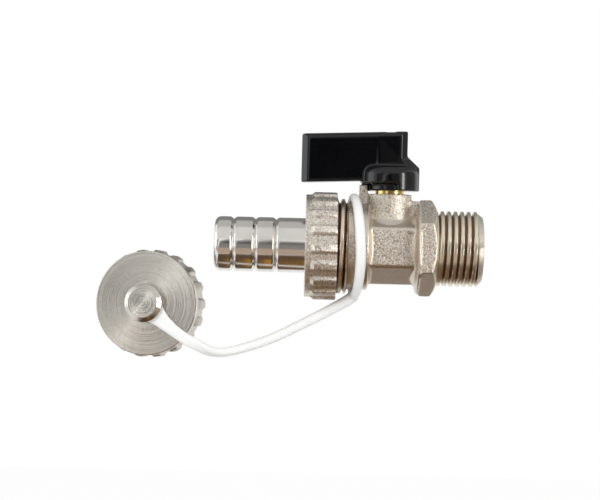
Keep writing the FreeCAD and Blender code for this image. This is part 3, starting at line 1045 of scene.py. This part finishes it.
@dataclass
class BlankingCap:
    """The blanking cap with its button; lengths in millimetres from its face."""

    centre: Triple = (-79.7, -1.95, -17.0)
    turn_angle: float = 10.96
    tilt_angle: float = 2.29
    face_r: float = 14.45
    face_low_r: float = 14.43
    step: float = 0.1
    step_ribs: float = 0.55
    wall_r: float = 14.2
    bore_r: float = 13.3
    bore_middle: float = -4.0
    depth: float = 8.2
    wall: float = 2.2
    bevel: float = 0.6
    mouth: float = 0.3
    mouth_r: float = 14.1
    mouth_ribs: float = 0.7
    rib_turn: float = 10.0
    button: Triple = (3.85, 3.0, 2.4)
    button_r: Triple = (4.07, 5.3, 3.2)
    colour: Colour = (0.685, 0.65, 0.595)
    roughness: float = 0.13

    def normal(self) -> Vector:
        """The way that the cap's face looks."""
        turn, tilt = math.radians(self.turn_angle), math.radians(self.tilt_angle)
        ahead = Vector((-math.sin(turn) * math.cos(tilt), -math.cos(turn) * math.cos(tilt), 0))
        return ahead + Vector((0, 0, math.sin(tilt)))

    def build(self) -> None:
        """Make the cap."""
        middle = Vector(self.centre) * MM
        turned = Vector((0, 0, 1)).rotation_difference(self.normal()).to_matrix().to_4x4()
        low = -self.depth
        top, edge, under = self.button
        top_r, edge_r, neck_r = self.button_r
        corners = (
            Corner(top, 0.0), Corner(top, top_r, round=0.25), Corner(edge, edge_r, round=0.2),
            Corner(under, edge_r, round=0.15), Corner(under, neck_r, round=0.1),
            Corner(0.0, neck_r, round=0.25), Corner(0.0, self.face_r, round=0.3),
            Corner(self.bevel - self.wall, self.face_low_r),
            Corner(-self.wall - self.step, self.face_r - self.step, ribs=self.step_ribs),
            Corner(-self.wall - self.bevel, self.wall_r, ribs=1.0),
            Corner(low + self.mouth, self.wall_r, ribs=1.0),
            Corner(low, self.mouth_r, ribs=self.mouth_ribs), Corner(low, self.bore_r, round=0.15),
            Corner(self.bore_middle, self.bore_r), Corner(-self.wall, self.bore_r),
            Corner(-self.wall, 0.0),
        )
        finish = TurnedPlate(
            "turned_nickel", self.colour, self.roughness,
            centre=tuple(middle), axis=tuple(self.normal()),
        )
        lathe = Lathe(segments=432, ribs=Ribs(self.rib_turn))
        placement = Matrix.Translation(middle) @ turned
        cap = lathe.turn("cap_turned", corners, placement, closed=False)
        fit_out(cap, finish, "cap", "plated_turning", "blanking_cap")

    def dress(self) -> None:
        """Finish the cap's gasket."""
        dress(Soft.RUBBER.value, "cap_gasket")


@dataclass
class Strap:
    """The white strap: a ring round the collar, a strip, and an eye round the cap's button.

    Attributes:
        cap: the cap that the eye holds; the other lengths are in millimetres.
        run: for each place the way left of the stem, ahead and down, the turn and the width.
        on_cap: for each place the way right of the button and down, the turn and the width.
    """

    CATMULL_ROM = np.array([[0, 2, 0, 0], [-1, 0, 1, 0], [2, -5, 4, -1], [-1, 3, -3, 1]]) / 2

    cap: BlankingCap
    grain: float = 0.2
    rounds: int = 30
    stem_x: float = -13.0
    ring_x: float = -22.2
    ring_bore_r: float = 12.3
    ring_wall: float = 2.5
    ring_width: float = 2.2
    front_width: float = 0.7
    yaw_angle: float = 4.86
    pitch_angle: float = 2.86
    bottom_shift: float = -0.8
    thickness: float = 2.7
    thicker: float = 0.6
    thick_spans: float = 2.8
    tongue: float = 1.5
    eye_bore_r: float = 3.6
    eye_r: float = 4.9
    eye_thickness: float = 1.8
    eye_lift: float = 0.3
    run: tuple[tuple[float, float, float, float, float], ...] = (
        (8.6, 0.0, 13.6, 0.0, 3.4), (12.1, 0.1, 15.9, 0.0, 3.8), (21.4, 0.7, 20.9, 0.0, 3.8),
        (33.6, 2.4, 26.7, 0.0, 3.8), (45.7, 5.0, 30.0, 0.25, 3.8),
    )
    on_cap: tuple[tuple[float, float, float, float], ...] = (
        (14.0, 10.6, 0.8, 3.4), (9.6, 8.2, 1.0, 3.4), (5.7, 5.3, 1.0, 4.2), (2.9, 2.8, 1.0, 6.0),
    )
    roundness: float = 0.72
    ring_steps: int = 160
    span_steps: int = 14
    around: int = 28

    def section(self, width: float, thickness: float) -> np.ndarray:
        """A flat section with rounded corners.

        Args:
            width: its width.
            thickness: its thickness.

        Returns:
            Its points, as pairs of across and through.
        """
        angle = np.arange(self.around) / self.around * math.tau
        circle = np.stack([np.cos(angle), np.sin(angle)], axis=1)
        rounded = np.sign(circle) * np.abs(circle) ** self.roundness
        return rounded * np.array([width, thickness]) / 2

    def angles(self) -> np.ndarray:
        """The angles of the sections round the ring and the eye."""
        return np.arange(self.ring_steps) / self.ring_steps * math.tau

    def ring(self) -> np.ndarray:
        """The ring, askew round the collar and broader in front.

        Returns:
            Its sections.
        """
        slopes = [math.tan(math.radians(angle)) for angle in (self.yaw_angle, self.pitch_angle)]
        askew = np.array(Vector((1, 0, 0)).rotation_difference(Vector((1, *slopes))).to_matrix())
        middle_r = self.ring_bore_r + self.ring_wall / 2
        sections = []
        for angle in self.angles():
            outwards = np.array([0.0, -math.cos(angle), math.sin(angle)])
            width = self.ring_width + self.front_width * max(math.cos(angle), 0.0)
            flat = self.section(width, self.ring_wall)
            points = flat @ np.array([[1.0, 0.0, 0.0], outwards]) + middle_r * outwards
            pulled = self.bottom_shift * max(-math.sin(angle), 0.0) ** 2
            sections.append(points @ askew.T + np.array([self.ring_x + pulled, 0.0, 0.0]))
        return np.array(sections)

    def eye_middle(self) -> Vector:
        """The way from the cap's face to the middle of the eye's thickness."""
        return self.cap.normal() * (self.eye_lift + self.eye_thickness / 2)

    def stations(self) -> np.ndarray:
        """The places that the strip runs through, from the ring to the eye.

        Returns:
            Rows of point, turn and width.
        """
        rows = [
            (*Vector((self.stem_x - left, -ahead, -below)), turn, width)
            for left, ahead, below, turn, width in self.run
        ]
        normal = self.cap.normal()
        for right, below, turn, width in self.on_cap:
            flat = Vector((right, (normal.z * below - normal.x * right) / normal.y, -below))
            rows.append((*(Vector(self.cap.centre) + flat + self.eye_middle()), turn, width))
        return np.array(rows)

    def line(self) -> np.ndarray:
        """A Catmull-Rom curve through the stations.

        Returns:
            Rows of point, turn and width.
        """
        rows = self.stations()
        padded = np.concatenate([2 * rows[:1] - rows[1:2], rows, 2 * rows[-1:] - rows[-2:-1]])
        steps = np.arange(self.span_steps) / self.span_steps
        weights = np.vander(steps, 4, increasing=True) @ self.CATMULL_ROM
        spans = [weights @ padded[index:index + 4] for index in range(len(rows) - 1)]
        return np.concatenate([*spans, rows[-1:]])

    def strip(self) -> np.ndarray:
        """The strip, from edge-on at the ring to flat on the cap.

        Returns:
            Its sections.
        """
        line = self.line()
        ways = np.gradient(line[:, :3], axis=0)
        thick_steps = self.thick_spans * self.span_steps
        sections = []
        for index, ((x, y, z, turn, width), way) in enumerate(zip(line, ways)):
            along = Vector(way).normalized()
            edge_on = along.cross(Vector((0, 1, 0))).normalized()
            facing = (edge_on * (1 - turn) + self.cap.normal() * turn).normalized()
            across = facing.cross(along).normalized()
            through = np.array(along.cross(across).normalized())
            grown = self.thicker * max(0.0, 1 - index / thick_steps)
            flat = self.section(width, self.thickness * (1 - turn) + self.tongue * turn + grown)
            middle = np.array([x, y, z]) - through * grown / 2
            sections.append(flat @ np.array([across, through]) + middle)
        return np.array(sections)

    def eye(self) -> np.ndarray:
        """The eye round the button's neck.

        Returns:
            Its sections.
        """
        turned = np.array(Vector((0, 0, 1)).rotation_difference(self.cap.normal()).to_matrix())
        middle = np.array(Vector(self.cap.centre) + self.eye_middle())
        flat = self.section(self.eye_r - self.eye_bore_r, self.eye_thickness)
        middle_r = (self.eye_r + self.eye_bore_r) / 2
        sections = []
        for angle in self.angles():
            outwards = np.array([math.cos(angle), math.sin(angle), 0.0])
            points = flat @ np.array([outwards, [0.0, 0.0, 1.0]]) + middle_r * outwards
            sections.append(points @ turned.T + middle)
        return np.array(sections)

    def build(self) -> None:
        """Make the strap as one moulding."""
        mesh = Shaping.swept([(self.ring(), True), (self.strip(), False), (self.eye(), True)])
        strap = Shaping.softened("strap_moulding", mesh, self.grain, self.rounds)
        fit_out(strap, Soft.STRAP.value, "strap", "white_strap", "cap_strap")

    def dress(self) -> None:
        """The strap has no other pieces."""


@dataclass(frozen=True)
class Card:
    """A glowing card that shows only in reflections, its corner measured from the view's middle."""

    name: str
    corner: Triple
    across: Triple
    up: Triple
    colour: Colour
    strength: float = 1.0

    def build(self, middle_x: float) -> None:
        """Put the card into the scene.

        Args:
            middle_x: the middle of the view.
        """
        first = Vector(self.corner) + Vector((middle_x, 0, 0))
        across, up = Vector(self.across), Vector(self.up)
        corners = [first, first + across, first + across + up, first + up]
        mesh = bpy.data.meshes.new(self.name)
        mesh.from_pydata(corners, [], [(0, 1, 2, 3)])
        card = new_object(self.name, mesh)
        card.visible_camera = card.visible_diffuse = card.visible_shadow = False
        material, graph = new_material(self.name)
        sockets = {"Color": (*self.colour, 1.0), "Strength": self.strength}
        glow = graph.node("ShaderNodeEmission", None, sockets)
        graph.node("ShaderNodeOutputMaterial", None, {"Surface": glow})
        mesh.materials.append(material)


@dataclass
class Studio:
    """The floor, the cards, the lamps, the world and the camera; lengths in metres."""

    WHITE = (1.0, 1.0, 1.0)
    SEEN_BY = ("Is Camera Ray", "Is Glossy Ray", "Is Transmission Ray")

    middle: Span = (-0.03745, -0.0013)
    distance: float = 0.48
    view_width: float = 0.1666
    roll: float = 1.41
    sensor: float = 36.0
    fill: Colour = (0.56, 0.56, 0.555)
    floor_z: float = -0.45
    floor_size: float = 6.0
    floor_colour: Colour = (0.95, 0.95, 0.95)
    floor_glow: float = 0.97
    cards: tuple[Card, ...] = (
        Card("front_softbox", (-0.75, -0.76, 0.27), (1.5, 0, 0), (0, 0.55, 0.5), (0.8, 0.8, 0.79)),
        Card("top_softbox", (-0.75, -0.21, 0.77), (1.5, 0, 0), (0, 0.59, 0), (0.56, 0.56, 0.555)),
        Card("back_card", (-0.75, 0.9, 0.2), (1.5, 0, 0), (0, -0.52, 0.57), (0.25, 0.25, 0.24)),
        Card("room_card", (-0.22, -0.85, -0.29), (0.84, 0, 0), (0, 0, 0.58), (0.25, 0.242, 0.235)),
        Card("lens_shade", (-0.09, -0.84, 0.02), (0.18, 0, 0), (0, 0, 0.11), (0.02, 0.02, 0.02)),
        Card("left_softbox", (-0.86, -0.84, -0.31), (0.24, 0, 0), (0.74, 0, 0.74), (1, 1, 0.99), 1.25),
        Card("left_card", (-1.25, -0.85, -0.29), (1.03, 0, 0), (0, 0, 0.58), (0.3, 0.3, 0.29)),
        Card("left_wall", (-1.3, -0.5, -0.2), (0, 0.8, 0), (0, 0, 0.8), (0.92, 1, 1), 2.0),
        Card("right_strip", (0.72, -0.66, -0.3), (0.13, 0.12, 0), (0, 0, 0.75), (1, 0.99, 0.97), 9.5),
        Card("right_card", (0.98, -0.42, -0.1), (0.1, 0.9, 0), (0, 0, 0.8), (0.45, 0.45, 0.43)),
        Card("right_low", (0.98, -0.42, -0.37), (0.1, 0.9, 0), (0, 0, 0.27), (0.74, 0.73, 0.71)),
        Card("lower_card", (-2.0, -0.8, -0.28), (4.0, 0, 0), (0, 0.4, -0.08), (0.52, 0.4, 0.31)),
        Card("under_card", (-0.28, -0.4, -0.38), (2.3, 0, 0), (0, 0.68, 0), (0.12, 0.074, 0.044)),
        Card("gold_card", (-0.017, -0.17, -0.37), (0.028, 0, 0), (0, 0.3, 0), (0.55, 0.28, 0.04)),
    )
    lamp_size: float = 0.5
    lamps: tuple[tuple[str, Triple, float], ...] = (
        ("key_lamp", (-0.35, -0.7, 0.45), 3.3), ("fill_lamp", (0.35, -0.6, 0.1), 1.2),
    )

    def camera(self) -> None:
        """Place the camera at the photograph's angle."""
        data = bpy.data.cameras.new("photo_camera")
        data.sensor_width = self.sensor
        data.lens = self.sensor * self.distance / self.view_width
        camera = new_object("photo_camera", data)
        roll = math.radians(self.roll)
        right = Vector((math.cos(roll), 0, math.sin(roll)))
        up = Vector((-math.sin(roll), 0, math.cos(roll)))
        turned = Matrix((right, up, Vector((0, -1, 0)))).transposed().to_4x4()
        place = (self.middle[0], -self.distance, self.middle[1])
        camera.matrix_world = Matrix.Translation(place) @ turned
        bpy.context.scene.camera = camera

    def background(self, graph: Graph) -> Value:
        """1 for rays that see the background directly or in metal and glass, 0 for others."""
        path = graph.node("ShaderNodeLightPath").socket.node.outputs
        return reduce(Value.largest, [Value(graph, path[ray]) for ray in self.SEEN_BY])

    def world(self) -> None:
        """Set a white background and an even fill."""
        world = bpy.data.worlds.new("studio")
        bpy.context.scene.world = world
        world.use_nodes = True
        graph = Graph(world.node_tree)
        colour = graph.mix(self.background(graph), self.fill, self.WHITE)
        sky = graph.node("ShaderNodeBackground", None, {"Color": colour, "Strength": 1.0})
        graph.node("ShaderNodeOutputWorld", None, {"Surface": sky})

    def floor(self) -> None:
        """Lay a pale floor below the part."""
        half, x = self.floor_size / 2, self.middle[0]
        corners = [(x - half, -half), (x + half, -half), (x + half, half), (x - half, half)]
        mesh = bpy.data.meshes.new("floor")
        mesh.from_pydata([(*corner, self.floor_z) for corner in corners], [], [(0, 1, 2, 3)])
        floor = new_object("floor", mesh)
        material, graph = new_material("pale_floor")
        matt = graph.node("ShaderNodeBsdfDiffuse", None, {"Color": (*self.floor_colour, 1.0)})
        glow = graph.node("ShaderNodeEmission", None, {"Color": (*self.WHITE, 1.0)})
        share = self.background(graph) * self.floor_glow
        shader = graph.node("ShaderNodeMixShader", None, {0: share, 1: matt, 2: glow})
        graph.node("ShaderNodeOutputMaterial", None, {"Surface": shader})
        mesh.materials.append(material)

    def light(self) -> None:
        """Hang soft lamps that look at the part and don't show in its metal."""
        target = Vector((self.middle[0], 0, self.middle[1]))
        for name, place, power in self.lamps:
            data = bpy.data.lights.new(name, "AREA")
            data.energy = power
            data.size = self.lamp_size
            lamp = new_object(name, data)
            lamp.location = place
            lamp.rotation_euler = (target - Vector(place)).to_track_quat("-Z", "Y").to_euler()
            lamp.visible_glossy = False

    def build(self) -> None:
        """Set up the whole studio."""
        bpy.context.scene.view_settings.view_transform = "Standard"
        self.camera()
        self.world()
        self.floor()
        for card in self.cards:
            card.build(self.middle[0])
        self.light()


def main() -> None:
    """Build every sub-assembly and the studio."""
    logging.basicConfig(level=logging.INFO, format="%(name)s: %(message)s")
    cap = BlankingCap()
    for group in (Valve(), Lever(), HoseUnion(), cap, Strap(cap)):
        group.build()
        group.dress()
    Studio().build()


if __name__ == "__main__":
    main()
